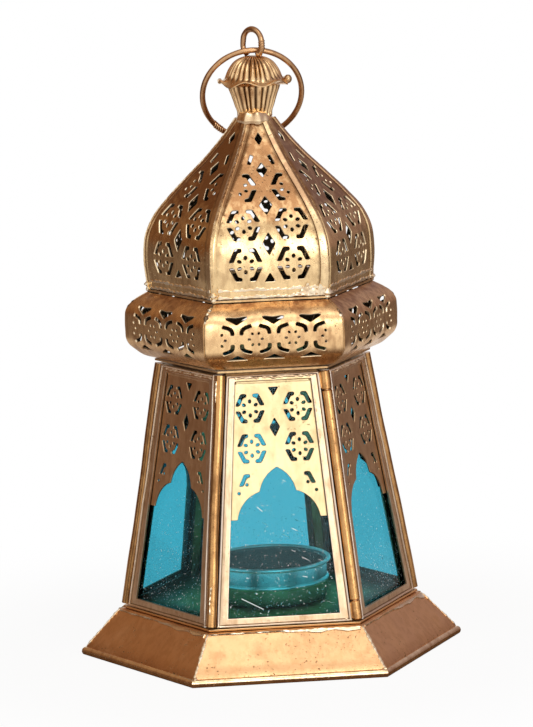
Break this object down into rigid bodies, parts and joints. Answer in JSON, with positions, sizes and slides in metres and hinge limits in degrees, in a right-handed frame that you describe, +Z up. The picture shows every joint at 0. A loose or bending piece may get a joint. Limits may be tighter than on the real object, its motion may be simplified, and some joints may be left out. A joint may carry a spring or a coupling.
{
  "type": "lantern",
  "caption": "Tabletop lantern with a flared hexagonal base, tinted glass sides, a hinged side door, a pierced band and onion dome, a fluted finial and a swinging carrying ring.",
  "frame": {"origin": "on the lantern's axis at the underside of the base rim", "axes": "+Z up the axis to the carrying ring, -Y out of the hinged door"},
  "size_m": [0.1472, 0.1274, 0.2391],
  "materials": {
    "brass": "hand-worked antique brass, pale gold on the highlights and brown in the hollows",
    "aged_brass": "darkened antique brass",
    "glass": "smooth turquoise tinted glass"
  },
  "bodies": {
    "lantern": {"base_rim": "aged_brass", "base_skirt": "brass", "floor_plate": "aged_brass", "tealight_cup": "brass", "post_front_right": "brass", "post_right": "brass", "post_back_right": "brass", "post_back_left": "brass", "post_left": "brass", "post_front_left": "brass", "hinge_pin": "aged_brass", "frame_front_right": "brass", "frame_back_right": "brass", "frame_back": "brass", "frame_back_left": "brass", "frame_front_left": "brass", "pane_front_right": "glass", "pane_back_right": "glass", "pane_back": "glass", "pane_back_left": "glass", "pane_front_left": "glass", "arch_front_right": "brass", "arch_back_right": "brass", "arch_back": "brass", "arch_back_left": "brass", "arch_front_left": "brass", "collar_plate": "brass", "band_front": "brass", "band_front_right": "brass", "band_back_right": "brass", "band_back": "brass", "band_back_left": "brass", "band_front_left": "brass", "dome_ring": "brass", "petal_front": "brass", "petal_front_right": "brass", "petal_back_right": "brass", "petal_back": "brass", "petal_back_left": "brass", "petal_front_left": "brass", "finial_cup": "brass", "finial_cap": "brass", "hanging_loop": "brass"},
    "door": {"door_frame": "brass", "pane_front": "glass", "arch_front": "brass"},
    "ring": {"carrying_ring": "brass"}
  },
  "joints": [
    {"name": "door_swing", "type": "hinge", "parent": "lantern", "child": "door", "pos_m": [0.02765, -0.0479, 0.0193], "axis": [-0.0853, 0.1478, 0.9853], "range_deg": [0, 100]},
    {"name": "ring_swing", "type": "hinge", "parent": "lantern", "child": "ring", "pos_m": [0, 0, 0.2299], "axis": [1, 0, 0], "range_deg": [0, 314]}
  ]
}
